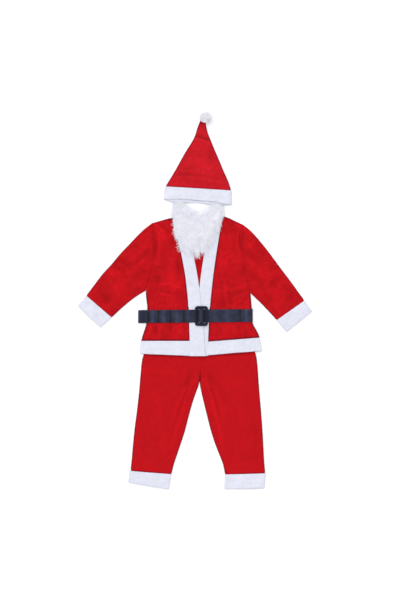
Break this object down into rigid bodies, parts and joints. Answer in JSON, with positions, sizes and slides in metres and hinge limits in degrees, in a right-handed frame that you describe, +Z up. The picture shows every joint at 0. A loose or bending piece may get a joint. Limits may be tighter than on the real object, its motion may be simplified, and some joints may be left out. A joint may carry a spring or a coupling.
{
  "type": "santa suit",
  "caption": "Child's red felt santa suit with white trims, laid flat: pointed hat with pompom, fluffy beard, open-necked jacket, buckled belt and trousers.",
  "frame": {"origin": "under the middle of the whole set, on the surface it lies on", "axes": "+X across the suit from the wearer's right to the left, +Y from the trousers' cuffs to the hat's pompom, +Z up from the surface it lies on, towards a viewer"},
  "size_m": [0.864, 1.3946, 0.0335],
  "materials": {
    "red_felt": "matte brushed polyester felt",
    "white_felt": "matte soft white felt with a bluish cast",
    "white_fur": "fluffy combed synthetic fur",
    "belt_webbing": "coated fabric, dull satin, creased by folding",
    "buckle_plastic": "moulded black plastic, satin"
  },
  "bodies": {
    "root": {"hat_cone": "red_felt", "hat_band": "white_felt", "hat_pompom": "white_fur", "beard_backing": "white_felt", "beard_fur": "white_fur", "jacket_back": "red_felt", "jacket_front_right": "red_felt", "jacket_front_left": "red_felt", "sleeve_right": "red_felt", "sleeve_left": "red_felt", "sleeve_cuff_right": "white_felt", "sleeve_cuff_left": "white_felt", "front_trim_right": "white_felt", "front_trim_left": "white_felt", "neck_trim": "white_felt", "hem_band_front_right": "white_felt", "hem_band_front_left": "white_felt", "hem_band_back": "white_felt", "belt_strap": "belt_webbing", "belt_buckle": "buckle_plastic", "trouser_leg_right": "red_felt", "trouser_leg_left": "red_felt", "trouser_cuff_right": "white_felt", "trouser_cuff_left": "white_felt", "trouser_waistband": "red_felt"}
  },
  "joints": []
}
